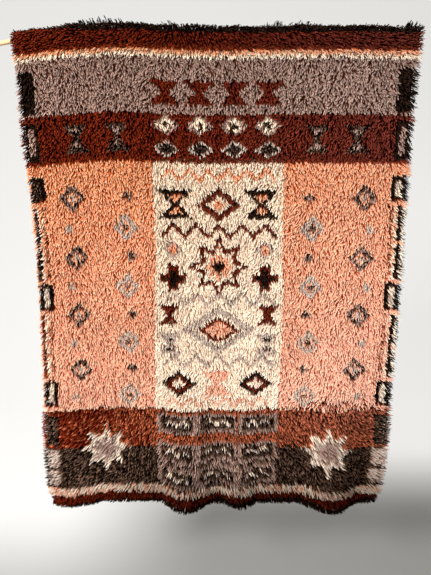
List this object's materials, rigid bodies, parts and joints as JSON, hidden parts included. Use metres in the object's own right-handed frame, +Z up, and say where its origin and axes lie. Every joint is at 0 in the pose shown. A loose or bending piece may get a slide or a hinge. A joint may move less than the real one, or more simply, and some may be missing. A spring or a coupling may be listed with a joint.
{
  "type": "rya rug on a hanging rod",
  "caption": "Deep-pile rya rug hung as a wall hanging, its woven heading folded over and sewn round a bowed wooden rod.",
  "frame": {"origin": "on the rod's axis, halfway along the rug, where the rod is held up", "axes": "+Z up; the rug's pile faces -Y and its woven back faces +Y; +X runs along the rod to the viewer's right"},
  "size_m": [1.5034, 0.1165, 1.8547],
  "materials": {
    "pale_wood": "bare, lightly sanded",
    "wool_salmon": "long wool pile, salmon",
    "wool_cream": "long wool pile, undyed cream",
    "wool_taupe": "long wool pile, taupe",
    "wool_red_brown": "long wool pile, dark red-brown",
    "wool_rust": "long wool pile, orange rust",
    "wool_dark_brown": "long wool pile, dark grey-brown",
    "wool_black": "long wool pile, brown-black",
    "wool_grey": "long wool pile, light warm grey",
    "woven_back": "close plain weave with rows of knot backs",
    "sewing_thread": "matt linen thread"
  },
  "bodies": {
    "root": {"rod": "pale_wood", "rug": "wool_salmon"}
  },
  "joints": []
}
